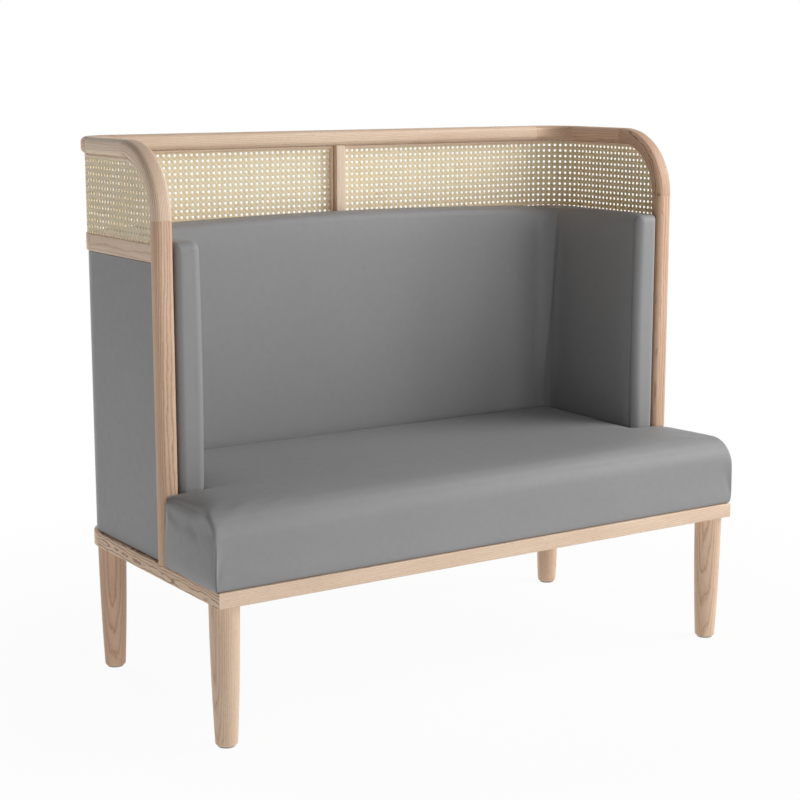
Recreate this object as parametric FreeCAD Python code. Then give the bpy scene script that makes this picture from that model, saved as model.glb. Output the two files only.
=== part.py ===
import FreeCAD, Part
import math
import os

# High-backed two-seat booth bench with a bent oak hoop, cane upper walls and leather-covered padding.
# Millimetres, +X right seen from the front, +Y to the back, +Z up, origin on the floor under the middle.

# Base frame and the whole bench
base_width = 1300.0
base_depth = 640.0
base_corner_radius = 95.0
base_rail_height = 31.0
base_rail_width = 44.0
base_eased_edge = 1.2
leg_height = 285.0
corner_block_size = 90.0
cross_rail_width = 60.0

# Turned legs
leg_top_diameter = 60.0
leg_bottom_diameter = 44.0
leg_belly = 1.5
leg_bands = 2
leg_foot_chamfer = 3.0
front_leg_side_inset = 30.5
front_leg_front_inset = 39.0
rear_leg_side_inset = 54.0
rear_leg_back_inset = 45.0
glide_height = 4.0
glide_diameter = 34.0
glide_stem_diameter = 8.0
glide_stem_length = 18.0
leg_plate_size = 42.0
leg_plate_thickness = 3.0
leg_bolt_diameter = 10.0
leg_bolt_in_leg = 45.0
leg_bolt_in_frame = 20.0

# Bent hoop: posts, quarter bends, side rails, plan corners and back rail of one section
hoop_width = 38.0
hoop_thickness = 34.0
hoop_edge_radius = 9.0
hoop_overhang = 3.0
hoop_top_height = 1145.0
hoop_bend_radius = 150.0
post_setback = 225.0
post_tenon_width = 18.0
post_tenon_length = 22.0
hoop_dowel_diameter = 10.0
hoop_dowel_length = 50.0

# Middle rail under the cane
cane_opening_height = 162.5
mid_rail_height = 35.5
mid_rail_width = 28.0
mid_rail_inset = 2.5
mid_rail_eased_edge = 1.5
mid_tenon_width = 12.0
mid_tenon_height = 22.0
mid_tenon_length = 14.0

# Cane webbing, the centre stile between its two openings, and the beads that hold it
cane_inset = 5.0
cane_thickness = 2.0
cane_groove_depth = 6.0
cane_gap_pitch = 44.0
cane_gap_share = 0.5
cane_plain_border = 9.0
stile_width = 23.0
stile_thickness = 24.0
stile_tenon_width = 12.0
stile_tenon_thickness = 12.0
stile_tenon_length = 8.0
bead_width = 7.0
bead_thickness = 9.0

# Wall frame, outer panels and the boards behind the padding
panel_inset = 6.5
panel_thickness = 6.0
panel_edge_gap = 1.5
stud_width = 40.0
side_stud_places_shares = (0.2, 0.75)
back_stud_places_shares = (-0.66, 0.0, 0.66)
corner_stud_angle = 40.0
corner_stud_middle_angle = 135.0
board_thickness = 9.0
board_edge_margin = 30.0
board_rise_above_base = 24.0

# Inner padding
pad_rise_above_mid_rail = 5.5
side_pad_thickness = 56.0
back_pad_thickness = 42.0
pad_gap_to_hoop = 3.0
pad_crown = 11.0
side_pad_crown = 3.0
pad_corner_radius = 16.0
pad_roll = 26.0

# Seat: box frame, deck and cushion
seat_rise_above_base = 154.0
seat_frame_height = 84.0
seat_frame_thickness = 20.0
deck_thickness = 12.0
cushion_side_foam = 22.0
cushion_front_inset = 6.0
cushion_front_roll = 52.0
cushion_side_roll = 30.0
cushion_rear_roll = 14.0
cushion_corner_radius = 14.0
deck_hole_diameter = 30.0
deck_hole_pitch = 300.0
dust_cover_thickness = 1.0
dust_cover_lap = 6.0

# Fits
clearance = 0.3
dowel_clearance = 0.1
overrun = 5.0

# The middle of a quarter arc lies this share of its radius in from each side of its corner
arc_middle_share = 1 - math.sqrt(0.5)

# Places worked out from the sizes above
half_width = base_width / 2
front_y = -(base_depth + hoop_overhang) / 2
back_y = front_y + base_depth
corner_x = half_width - base_corner_radius
corner_y = back_y - base_corner_radius
rail_top = leg_height + base_rail_height
post_front_y = front_y + post_setback
post_back_y = post_front_y + hoop_thickness
hoop_outer_x = half_width + hoop_overhang
hoop_inner_x = hoop_outer_x - hoop_width
hoop_back_y = back_y + hoop_overhang
hoop_inner_y = hoop_back_y - hoop_width
hoop_under = hoop_top_height - hoop_thickness
bend_y = post_front_y + hoop_bend_radius
bend_z = hoop_top_height - hoop_bend_radius
mid_rail_top = hoop_under - cane_opening_height
mid_rail_bottom = mid_rail_top - mid_rail_height
pad_top = mid_rail_top + pad_rise_above_mid_rail
board_bottom = rail_top + board_rise_above_base
seat_top = rail_top + seat_rise_above_base
seat_frame_bottom = rail_top + dust_cover_thickness
seat_frame_top = seat_frame_bottom + seat_frame_height
deck_top = seat_frame_top + deck_thickness
pad_outer_x = hoop_inner_x - pad_gap_to_hoop
pad_back_y = hoop_inner_y - pad_gap_to_hoop
pad_front_y = post_front_y
back_pad_face_y = pad_back_y - back_pad_thickness
side_pad_face_x = pad_outer_x - side_pad_thickness
cushion_front_y = front_y + cushion_front_inset
wing_back_y = post_front_y - clearance
stem_half_width = side_pad_face_x - clearance
stem_back_y = back_pad_face_y - clearance
left, right = -1, 1

# A reach beyond the whole bench each way, for cuts
beyond = base_width + base_depth + hoop_top_height

V = FreeCAD.Vector
UP = V(0, 0, 1)
nodes = {}


def box(x0, x1, y0, y1, z0, z1):
    return Part.makeBox(abs(x1 - x0), abs(y1 - y0), abs(z1 - z0), V(min(x0, x1), min(y0, y1), min(z0, z1)))


def mirrored(shape):
    return shape.mirror(V(0, 0, 0), V(1, 0, 0))


def on_side(shape, side):
    return shape if side == left else mirrored(shape)


def side_name(side):
    return "left" if side == left else "right"


def pair(shape):
    """A piece and its mirror image, as one group of two separate solids."""
    return Part.Compound([shape, mirrored(shape)])


def extruded(points, direction):
    edges = []
    for a, b in zip(points, points[1:] + points[:1]):
        edges.append(Part.makeLine(a, b))
    return Part.Face(Part.Wire(edges)).extrude(direction)


def arc(centre, radius, u, v, start, end):
    """Arc about centre in the plane of u and v, angles in degrees, through the middle of its turn."""
    def at(angle):
        a = math.radians(angle)
        return centre + u * (radius * math.cos(a)) + v * (radius * math.sin(a))
    return Part.Arc(at(start), at((start + end) / 2), at(end)).toShape()


def rounded_face(centre, u, v, width, height, radius):
    """A rounded rectangle, width along u and height along v."""
    w = width / 2 - radius
    h = height / 2 - radius
    corners = [(w, h, 0), (-w, h, 90), (-w, -h, 180), (w, -h, 270)]
    edges = []
    for a, b, turn in corners:
        edges.append(arc(centre + u * a + v * b, radius, u, v, turn, turn + 90))
    joined = []
    for edge, following in zip(edges, edges[1:] + edges[:1]):
        joined.append(edge)
        end = edge.valueAt(edge.LastParameter)
        joined.append(Part.makeLine(end, following.valueAt(following.FirstParameter)))
    return Part.Face(Part.Wire(joined))


def wall_strip(outer, inner, y_from, x_to, z0, z1):
    """The left half of a wall followed in plan, between two insets from the base outline."""
    centre = V(-corner_x, corner_y, z0)
    X, Y = V(-1, 0, 0), V(0, 1, 0)
    xo, xi = -(half_width - outer), -(half_width - inner)
    yo, yi = back_y - outer, back_y - inner
    path = [
        Part.makeLine(V(xo, y_from, z0), V(xo, corner_y, z0)),
        arc(centre, base_corner_radius - outer, X, Y, 0, 90),
        Part.makeLine(V(-corner_x, yo, z0), V(x_to, yo, z0)),
        Part.makeLine(V(x_to, yo, z0), V(x_to, yi, z0)),
        Part.makeLine(V(x_to, yi, z0), V(-corner_x, yi, z0)),
        arc(centre, base_corner_radius - inner, X, Y, 90, 0),
        Part.makeLine(V(xi, corner_y, z0), V(xi, y_from, z0)),
        Part.makeLine(V(xi, y_from, z0), V(xo, y_from, z0)),
    ]
    return Part.Face(Part.Wire(path)).extrude(V(0, 0, z1 - z0))


def wall_interior(inset, z0, z1):
    """Everything inside the walls in plan, with their rounded rear corners."""
    reach = half_width - inset
    radius = base_corner_radius - inset
    y1 = back_y - inset
    solid = box(-reach, reach, -beyond, y1, z0, z1)
    corner = box(-reach, -corner_x, corner_y, y1, z0, z1).cut(
        Part.makeCylinder(radius, z1 - z0, V(-corner_x, corner_y, z0)))
    return solid.cut(corner).cut(mirrored(corner))


def outer_edges(shape, inset):
    """The level edges on the outside of the left half of a wall or frame."""
    radius = base_corner_radius - inset
    found = []
    for edge in shape.Edges:
        middle = edge.valueAt((edge.FirstParameter + edge.LastParameter) / 2)
        reach = math.hypot(max(0, -corner_x - middle.x), max(0, middle.y - corner_y))
        on_outside = abs(reach - radius) < clearance or abs(middle.y - front_y) < clearance
        if on_outside and edge.BoundBox.ZLength < clearance:
            found.append(edge)
    return found


# The three stretches of a wall: its side, its quarter corner and its back
side_zone = box(-beyond, -corner_x, -beyond, corner_y, 0, beyond)
corner_zone = box(-beyond, -corner_x, corner_y, beyond, 0, beyond)
back_zone = box(-corner_x, corner_x, 0, beyond, 0, beyond)


# Base frame: mitred front corners, quarter-round rear corners, glued corner blocks and a middle rail
def base_frame():
    strip = wall_strip(0, base_rail_width, front_y, 0, leg_height, rail_top)
    front = box(-half_width, 0, front_y, front_y + base_rail_width, leg_height, rail_top)
    frame = strip.fuse(front).removeSplitter()
    return frame.makeChamfer(base_eased_edge, outer_edges(frame, 0))


def mitre_cutter(side_piece):
    """Keeps one half of the front left corner, cut from outer corner to inner corner."""
    reach = base_rail_width + overrun
    low = V(-half_width - overrun, front_y - overrun, leg_height - overrun)
    far = V(-half_width + reach, front_y + reach, leg_height - overrun)
    other = V(-half_width + reach, front_y - overrun, leg_height - overrun)
    if not side_piece:
        other = V(-half_width - overrun, front_y + reach, leg_height - overrun)
    return extruded([low, far, other], V(0, 0, base_rail_height + 2 * overrun))


def leg_places():
    front = V(-(half_width - front_leg_side_inset), front_y + front_leg_front_inset, 0)
    rear = V(-(half_width - rear_leg_side_inset), back_y - rear_leg_back_inset, 0)
    return {"front": front, "rear": rear}


def plate_blank(place, grow):
    half = leg_plate_size / 2 + grow
    return box(place.x - half, place.x + half, place.y - half, place.y + half, leg_height,
               leg_height + leg_plate_thickness)


def plate_hole(place):
    radius = leg_bolt_diameter / 2 + clearance
    bolt_hole = Part.makeCylinder(radius, leg_bolt_in_frame, place + UP * leg_height)
    return plate_blank(place, clearance).fuse(bolt_hole)


def post_mortise(grow):
    x = -(hoop_inner_x + hoop_outer_x) / 2
    y = (post_front_y + post_back_y) / 2
    w = post_tenon_width / 2 + grow
    return box(x - w, x + w, y - w, y + w, rail_top - post_tenon_length - grow, rail_top + overrun)


def base_pieces():
    frame = base_frame()
    holes = post_mortise(clearance)
    for place in leg_places().values():
        holes = holes.fuse(plate_hole(place))
    frame = frame.cut(holes)
    side = frame.common(side_zone)
    front_reach = box(-half_width - overrun, 0, front_y - overrun, front_y + base_rail_width, 0,
                      rail_top + overrun)
    beside_rail = box(-half_width + base_rail_width, overrun, front_y - overrun, front_y + base_rail_width, 0,
                      rail_top + overrun)
    side_rail = side.cut(beside_rail).cut(mitre_cutter(True))
    front_half = frame.common(front_reach).cut(mitre_cutter(False))
    front_rail = front_half.fuse(mirrored(front_half)).removeSplitter()
    back_half = frame.common(back_zone)
    rear_rail = back_half.fuse(mirrored(back_half)).removeSplitter()
    nodes["base_rail_front"] = front_rail
    nodes["base_rail_rear"] = rear_rail
    nodes["base_corners"] = pair(frame.common(corner_zone))
    for side in (left, right):
        nodes["base_rail_" + side_name(side)] = on_side(side_rail, side)
    y0 = front_y + base_rail_width
    y1 = back_y - base_rail_width
    nodes["base_cross_rail"] = box(-cross_rail_width / 2, cross_rail_width / 2, y0, y1, leg_height, rail_top)


def corner_blocks():
    x = -(half_width - base_rail_width)
    y = front_y + base_rail_width
    size = corner_block_size
    rise = V(0, 0, base_rail_height)
    front = extruded([V(x, y, leg_height), V(x + size, y, leg_height), V(x, y + size, leg_height)], rise)
    yb = back_y - base_rail_width
    radius = base_corner_radius - base_rail_width
    block = extruded([V(x, yb - size, leg_height), V(x + size, yb, leg_height), V(x, yb, leg_height)], rise)
    round_corner = box(x, -corner_x, corner_y, yb, leg_height, rail_top).cut(
        Part.makeCylinder(radius, base_rail_height, V(-corner_x, corner_y, leg_height)))
    rear = block.cut(round_corner)
    places = leg_places()
    for side in (left, right):
        fitted = front.cut(plate_hole(places["front"]))
        nodes["corner_block_front_" + side_name(side)] = on_side(fitted, side)
        nodes["corner_block_rear_" + side_name(side)] = on_side(rear.cut(plate_hole(places["rear"])), side)


# Turned legs with nail-in glides, each bolted through a square plate let into the frame corner
def leg(place):
    top = leg_top_diameter / 2
    foot = leg_bottom_diameter / 2
    profile = [V(0, 0, glide_height), V(foot - leg_foot_chamfer, 0, glide_height)]
    start = glide_height + leg_foot_chamfer
    for band in range(leg_bands + 1):
        rise = band / leg_bands
        swell = leg_belly * 4 * rise * (1 - rise)
        profile.append(V(foot + (top - foot) * rise + swell, 0, start + (leg_height - start) * rise))
    profile.append(V(0, 0, leg_height))
    edges = [Part.makeLine(a, b) for a, b in zip(profile, profile[1:] + profile[:1])]
    solid = Part.Face(Part.Wire(edges)).revolve(V(0, 0, 0), UP, 360)
    bolt_hole = Part.makeCylinder(leg_bolt_diameter / 2 + dowel_clearance, leg_bolt_in_leg,
                                  V(0, 0, leg_height - leg_bolt_in_leg))
    stem_hole = Part.makeCylinder(glide_stem_diameter / 2 + dowel_clearance, glide_stem_length,
                                  V(0, 0, glide_height))
    return solid.cut(bolt_hole).cut(stem_hole).translated(place)


def leg_bolt(place):
    length = leg_bolt_in_leg + leg_bolt_in_frame - clearance
    return Part.makeCylinder(leg_bolt_diameter / 2, length, place + UP * (leg_height - leg_bolt_in_leg))


def leg_plate(place):
    bore = Part.makeCylinder(leg_bolt_diameter / 2, leg_plate_thickness, place + UP * leg_height)
    return plate_blank(place, 0).cut(bore)


def leg_glide(place):
    pad = Part.makeCylinder(glide_diameter / 2, glide_height, place)
    stem_length = glide_stem_length - clearance
    stem = Part.makeCylinder(glide_stem_diameter / 2, stem_length, place + UP * glide_height)
    return pad.fuse(stem).removeSplitter()


def legs():
    bolts, plates, glides = [], [], []
    for end, place in leg_places().items():
        nodes[end + "_legs"] = pair(leg(place))
        bolts.append(pair(leg_bolt(place)))
        plates.append(pair(leg_plate(place)))
        glides.append(pair(leg_glide(place)))
    nodes["leg_bolts"] = Part.Compound(bolts)
    nodes["leg_plates"] = Part.Compound(plates)
    nodes["leg_glides"] = Part.Compound(glides)


# Cane webbing: one sheet of the upper wall, kept in a groove all round
def opening_outline(grow):
    """Side view of the side opening, grown outward into the wood, as a slab across the left wall."""
    inner_radius = hoop_bend_radius - hoop_thickness + grow
    x = -beyond
    centre = V(x, bend_y, bend_z)
    z_low = mid_rail_top - grow
    front = post_back_y - grow
    top = hoop_under + grow
    edges = [
        Part.makeLine(V(x, front, z_low), V(x, front, bend_z)),
        arc(centre, inner_radius, V(0, -1, 0), UP, 0, 90),
        Part.makeLine(V(x, bend_y, top), V(x, beyond, top)),
        Part.makeLine(V(x, beyond, top), V(x, beyond, z_low)),
        Part.makeLine(V(x, beyond, z_low), V(x, front, z_low)),
    ]
    return Part.Face(Part.Wire(edges)).extrude(V(beyond, 0, 0))


def cane_blank(grow):
    """The left cane sheet, side, corner and back, with its edges and faces grown for the groove."""
    strip = wall_strip(cane_inset - grow, cane_inset + cane_thickness + grow, front_y,
                       -(stile_width / 2 - cane_groove_depth - grow), 0, beyond)
    return strip.common(opening_outline(cane_groove_depth + grow))


def gap_row(start, end, pitch):
    count = int((end - start) / pitch)
    margin = (end - start - count * pitch) / 2
    return [start + margin + pitch * (i + 0.5) for i in range(count)]


def cane_columns():
    """Place and turn in plan of each column of gaps: along the side, round the corner and along the back."""
    radius = base_corner_radius - cane_inset
    side_rows = gap_row(post_back_y + cane_plain_border, corner_y, cane_gap_pitch)
    back_rows = gap_row(-corner_x, -stile_width / 2 - cane_plain_border, cane_gap_pitch)
    side = [(-(half_width - cane_inset), y, 90) for y in side_rows]
    back = [(x, back_y - cane_inset, 0) for x in back_rows]
    corner = []
    for distance in gap_row(0, radius * math.pi / 2, cane_gap_pitch):
        a = distance / radius
        x = -corner_x - radius * math.cos(a)
        y = corner_y + radius * math.sin(a)
        corner.append((x, y, 90 - math.degrees(a)))
    return {"side": side, "corner": corner, "back": back}


def cane_gaps(columns):
    """Square gaps in rows, clear of the wood all round by a plain border."""
    gap = cane_gap_pitch * cane_gap_share / 2
    rows = gap_row(mid_rail_top + cane_plain_border, hoop_under - cane_plain_border, cane_gap_pitch)
    cutters = []
    for x, y, turn in columns:
        for z in rows:
            reach = math.hypot(max(0, bend_y - y + gap), max(0, z + gap - bend_z))
            if reach < hoop_bend_radius - hoop_thickness - cane_plain_border:
                cutter = box(-gap, gap, -overrun, overrun, -gap, gap)
                cutter.rotate(V(0, 0, 0), UP, turn)
                cutter.translate(V(x, y, z))
                cutters.append(cutter)
    return Part.Compound(cutters)


def cane():
    sheet = cane_blank(0)
    zones = {"side": side_zone, "corner": corner_zone, "back": back_zone}
    stretches = {}
    for name, columns in cane_columns().items():
        stretches[name] = sheet.common(zones[name]).cut(cane_gaps(columns))
    nodes["cane_corners"] = pair(stretches["corner"])
    for side in (left, right):
        nodes["cane_side_" + side_name(side)] = on_side(stretches["side"], side)
        nodes["cane_back_" + side_name(side)] = on_side(stretches["back"], side)


def beads():
    """A bead frame inside the wall that closes the groove of each opening."""
    outer = cane_inset + cane_thickness + clearance
    strip = wall_strip(outer, outer + bead_thickness, front_y, -stile_width / 2, 0, beyond)
    ring = strip.common(opening_outline(0))
    stile_side = box(-stile_width / 2 - bead_width, 0, 0, beyond, 0, beyond)
    hole = opening_outline(-bead_width).cut(stile_side)
    ring = ring.cut(hole)
    for side in (left, right):
        nodes["cane_bead_" + side_name(side)] = on_side(ring, side)


# Bent hoop
def hoop_joints():
    """Places and directions of the glued butt joints of the left half of the hoop."""
    x = -(hoop_inner_x + hoop_outer_x) / 2
    y = (hoop_inner_y + hoop_back_y) / 2
    z = hoop_top_height - hoop_thickness / 2
    post_y = post_front_y + hoop_thickness / 2
    return [(V(x, post_y, bend_z), UP), (V(x, bend_y, z), V(0, 1, 0)),
            (V(x, corner_y, z), V(0, 1, 0)), (V(-corner_x, y, z), V(1, 0, 0))]


def hoop_dowels(grow_radius, grow_length):
    dowels = []
    length = hoop_dowel_length + 2 * grow_length
    for place, direction in hoop_joints():
        start = place - direction * (length / 2)
        dowels.append(Part.makeCylinder(hoop_dowel_diameter / 2 + grow_radius, length, start, direction))
    return dowels


def hoop_pieces():
    X, Y = V(1, 0, 0), V(0, 1, 0)
    x = -(hoop_inner_x + hoop_outer_x) / 2
    y = (hoop_inner_y + hoop_back_y) / 2
    z = hoop_top_height - hoop_thickness / 2
    post_y = post_front_y + hoop_thickness / 2
    radius = hoop_edge_radius
    post = rounded_face(V(x, post_y, rail_top), X, Y, hoop_width, hoop_thickness, radius).extrude(
        V(0, 0, bend_z - rail_top))
    tenon = box(x - post_tenon_width / 2, x + post_tenon_width / 2, post_y - post_tenon_width / 2,
                post_y + post_tenon_width / 2, rail_top - post_tenon_length, rail_top)
    post = post.fuse(tenon)
    bend = rounded_face(V(x, post_y, bend_z), X, Y, hoop_width, hoop_thickness, radius).revolve(
        V(x, bend_y, bend_z), V(-1, 0, 0), 90)
    side_rail = rounded_face(V(x, bend_y, z), X, UP, hoop_width, hoop_thickness, radius).extrude(
        V(0, corner_y - bend_y, 0))
    corner = rounded_face(V(x, corner_y, z), X, UP, hoop_width, hoop_thickness, radius).revolve(
        V(-corner_x, corner_y, z), V(0, 0, -1), 90)
    back_half = rounded_face(V(-corner_x, y, z), Y, UP, hoop_width, hoop_thickness, radius).extrude(
        V(corner_x, 0, 0))
    cutter = Part.Compound([cane_blank(dowel_clearance)] + hoop_dowels(dowel_clearance, clearance))
    back_half = back_half.cut(cutter).cut(stile_tenon(clearance))
    nodes["top_rail_back"] = back_half.fuse(mirrored(back_half)).removeSplitter()
    for side in (left, right):
        nodes["post_" + side_name(side)] = on_side(post.cut(cutter).cut(mid_tenon(clearance)), side)
        nodes["top_rail_" + side_name(side)] = on_side(side_rail.cut(cutter), side)
    nodes["quarter_bends"] = pair(bend.cut(cutter))
    nodes["top_corners"] = pair(corner.cut(cutter))
    nodes["hoop_dowels"] = pair(Part.Compound(hoop_dowels(0, 0)))


# Middle rail: side rails tenoned into the posts, quarter-round corners and the back rail
def mid_tenon(grow):
    x = -(half_width - mid_rail_inset - mid_rail_width / 2)
    z = mid_rail_bottom + mid_rail_height / 2
    w = mid_tenon_width / 2 + grow
    h = mid_tenon_height / 2 + grow
    return box(x - w, x + w, post_back_y - mid_tenon_length - grow, post_back_y + grow, z - h, z + h)


def mid_rails():
    strip = wall_strip(mid_rail_inset, mid_rail_inset + mid_rail_width, post_back_y, 0,
                       mid_rail_bottom, mid_rail_top)
    strip = strip.makeChamfer(mid_rail_eased_edge, outer_edges(strip, mid_rail_inset))
    strip = strip.cut(cane_blank(dowel_clearance)).cut(stile_tenon(clearance))
    side_rail = strip.common(side_zone).fuse(mid_tenon(0)).removeSplitter()
    back_half = strip.common(back_zone)
    nodes["mid_rail_back"] = back_half.fuse(mirrored(back_half)).removeSplitter()
    nodes["mid_corners"] = pair(strip.common(corner_zone))
    for side in (left, right):
        nodes["mid_rail_" + side_name(side)] = on_side(side_rail, side)


# Centre stile between the two back openings, tenoned into the rails above and below
def stile_tenon(grow):
    y1 = back_y - mid_rail_inset - mid_rail_eased_edge
    y0 = y1 - stile_thickness
    w = stile_tenon_width / 2 + grow
    d = (stile_thickness - stile_tenon_thickness) / 2
    z0 = mid_rail_top - stile_tenon_length - grow
    z1 = hoop_under + stile_tenon_length + grow
    return box(-w, w, y0 + d - grow, y1 - d + grow, z0, z1)


def centre_stile():
    y1 = back_y - mid_rail_inset - mid_rail_eased_edge
    body = box(-stile_width / 2, stile_width / 2, y1 - stile_thickness, y1, mid_rail_top, hoop_under)
    body = body.makeFillet(mid_rail_eased_edge, [e for e in body.Edges if e.BoundBox.ZLength > clearance])
    body = body.fuse(stile_tenon(0)).removeSplitter()
    groove = cane_blank(dowel_clearance)
    nodes["centre_stile"] = body.cut(groove).cut(mirrored(groove))


# Wall studs, corner staves and the leather-covered outer panels
def wall_studs():
    outer = panel_inset + panel_thickness
    inner = half_width - hoop_inner_x
    back_inner = back_y - hoop_inner_y
    top = mid_rail_bottom
    studs = []
    for share in side_stud_places_shares:
        y = post_back_y + (corner_y - post_back_y) * share
        stud = box(-(half_width - outer), -(half_width - inner), y, y + stud_width, rail_top, top)
        studs += [stud, mirrored(stud)]
    for share in back_stud_places_shares:
        x = corner_x * share
        low, high = x - stud_width / 2, x + stud_width / 2
        studs.append(box(low, high, back_y - back_inner, back_y - outer, rail_top, top))
    centre = V(-corner_x, corner_y, rail_top)
    ring = Part.makeCylinder(base_corner_radius - outer, top - rail_top, centre, UP, corner_stud_angle)
    bore = Part.makeCylinder(base_corner_radius - back_inner, top - rail_top, centre)
    stave = ring.cut(bore)
    stave.rotate(centre, UP, corner_stud_middle_angle - corner_stud_angle / 2)
    studs += [stave, mirrored(stave)]
    nodes["wall_studs"] = Part.Compound(studs)


def outer_panels():
    z0 = rail_top + panel_edge_gap
    z1 = mid_rail_bottom - panel_edge_gap / 2
    strip = wall_strip(panel_inset, panel_inset + panel_thickness, post_back_y + clearance, 0, z0, z1)
    side_panel = strip.cut(back_zone)
    back_half = strip.common(back_zone)
    nodes["outer_panel_back"] = back_half.fuse(mirrored(back_half)).removeSplitter()
    for side in (left, right):
        nodes["outer_panel_" + side_name(side)] = on_side(side_panel, side)


# Boards that carry the inner padding, screwed to the studs
def pad_boards():
    top = pad_top - board_edge_margin
    side_board = box(-hoop_inner_x, -(hoop_inner_x - board_thickness), post_back_y + clearance, corner_y,
                     board_bottom, top)
    back_board = box(-corner_x, corner_x, hoop_inner_y - board_thickness, hoop_inner_y, board_bottom, top)
    nodes["back_pad_board"] = back_board
    for side in (left, right):
        nodes["side_pad_board_" + side_name(side)] = on_side(side_board, side)


# Padding: crowned pads that wrap the front and top of their boards
def pad_section(origin, u, v, length, height, radius, crown):
    """A section with rounded corners whose top edge rises to a crown in the middle."""
    def at(a, b):
        return origin + u * a + v * b
    r = radius
    side = r * arc_middle_share
    edges = [
        Part.makeLine(at(r, 0), at(length - r, 0)),
        Part.Arc(at(length - r, 0), at(length - side, side), at(length, r)).toShape(),
        Part.makeLine(at(length, r), at(length, height - r)),
        Part.Arc(at(length, height - r), at(length - side, height - side), at(length - r, height)).toShape(),
        Part.Arc(at(length - r, height), at(length / 2, height + crown), at(r, height)).toShape(),
        Part.Arc(at(r, height), at(side, height - side), at(0, height - r)).toShape(),
        Part.makeLine(at(0, height - r), at(0, r)),
        Part.Arc(at(0, r), at(side, side), at(r, 0)).toShape(),
    ]
    return Part.Wire(edges)


# Shares of a pad's depth, and of its roll drawn in from each edge at that depth
pad_profile_shares = ((0.0, 0.25), (0.15, 0.06), (0.4, 0.0), (0.62, 0.05), (0.78, 0.18), (0.9, 0.4),
                      (0.97, 0.65), (1.0, 0.95))


def side_pad():
    z0 = seat_frame_bottom
    y0, y1 = pad_front_y, back_pad_face_y - clearance
    depth = side_pad_thickness
    wires = []
    for place, drawn in pad_profile_shares:
        inset = pad_roll * drawn
        origin = V(-pad_outer_x + depth * place, y0 + inset, z0)
        wires.append(pad_section(origin, V(0, 1, 0), UP, y1 - y0 - inset, pad_top - z0 - inset / 2,
                                 pad_corner_radius, side_pad_crown))
    pad = Part.makeLoft(wires, True, True)
    pocket = nodes["side_pad_board_left"].BoundBox
    return pad.cut(box(-hoop_outer_x, pocket.XMax + clearance, pocket.YMin - clearance, y1 + overrun,
                       z0 - overrun, pocket.ZMax + clearance))


def back_pad():
    z0 = seat_frame_bottom
    depth = back_pad_thickness
    wires = []
    for place, drawn in pad_profile_shares:
        inset = pad_roll * drawn
        half = pad_outer_x - inset / 2
        origin = V(-half, pad_back_y - depth * place, z0)
        wires.append(pad_section(origin, V(1, 0, 0), UP, 2 * half, pad_top - z0 - inset / 2,
                                 pad_corner_radius, pad_crown))
    pad = Part.makeLoft(wires, True, True)
    pocket = nodes["back_pad_board"].BoundBox
    return pad.cut(box(pocket.XMin - clearance, pocket.XMax + clearance, pocket.YMin - clearance,
                       hoop_back_y, z0 - overrun, pocket.ZMax + clearance))


def padding():
    room = wall_interior(half_width - pad_outer_x, 0, beyond)
    pad = side_pad().common(room)
    nodes["back_pad"] = back_pad().common(room)
    for side in (left, right):
        nodes["side_pad_" + side_name(side)] = on_side(pad, side)


# Seat: a T-shaped box frame with a perforated deck, a dust cover below and the cushion over it
def t_outline(z, front, side, rear, radius):
    """T-shaped outline: full width ahead of the posts, narrower between the side pads."""
    xw = half_width - side
    xs = stem_half_width - rear
    yf = cushion_front_y + front
    yw = wing_back_y - rear
    ys = stem_back_y - rear
    r = radius
    k = r * arc_middle_share

    def half_path(s):
        return [
            ("line", V(0, yf, z), V(s * (xw - r), yf, z)),
            ("arc", V(s * (xw - r), yf, z), V(s * (xw - k), yf + k, z), V(s * xw, yf + r, z)),
            ("line", V(s * xw, yf + r, z), V(s * xw, yw - r, z)),
            ("arc", V(s * xw, yw - r, z), V(s * (xw - k), yw - k, z), V(s * (xw - r), yw, z)),
            ("line", V(s * (xw - r), yw, z), V(s * xs, yw, z)),
            ("line", V(s * xs, yw, z), V(s * xs, ys - r, z)),
            ("arc", V(s * xs, ys - r, z), V(s * (xs - k), ys - k, z), V(s * (xs - r), ys, z)),
            ("line", V(s * (xs - r), ys, z), V(0, ys, z)),
        ]

    edges = []
    for kind, *points in half_path(1):
        edges.append(Part.makeLine(*points) if kind == "line" else Part.Arc(*points).toShape())
    for kind, *points in reversed(half_path(-1)):
        points = points[::-1]
        edges.append(Part.makeLine(*points) if kind == "line" else Part.Arc(*points).toShape())
    return Part.Wire(edges)


def t_slab(inset, z0, z1):
    """A square-cornered slab of the same T shape, inset all round."""
    xw, xs = half_width - inset, stem_half_width - inset
    yf, yw, ys = cushion_front_y + inset, wing_back_y - inset, stem_back_y - inset
    corners = [(-xw, yf), (xw, yf), (xw, yw), (xs, yw), (xs, ys), (-xs, ys), (-xs, yw), (-xw, yw)]
    return extruded([V(x, y, z0) for x, y in corners], V(0, 0, z1 - z0))


# Shares of the cushion's height, then of its front, side and rear rolls drawn in at that height
cushion_profile_shares = ((0.0, 0.0, 0.0, 0.0), (0.12, -0.02, -0.15, 0.0), (0.31, -0.04, -0.27, 0.0),
                          (0.54, -0.04, -0.3, 0.0), (0.62, 0.0, -0.28, 0.0), (0.73, 0.06, -0.2, 0.0),
                          (0.82, 0.23, 0.0, 0.05), (0.895, 0.5, 0.45, 0.2), (0.933, 0.79, 1.2, 0.5),
                          (0.947, 1.05, 1.9, 1.0), (0.975, 1.7, 2.3, 2.0), (1.0, 2.4, 2.6, 3.5))


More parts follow.
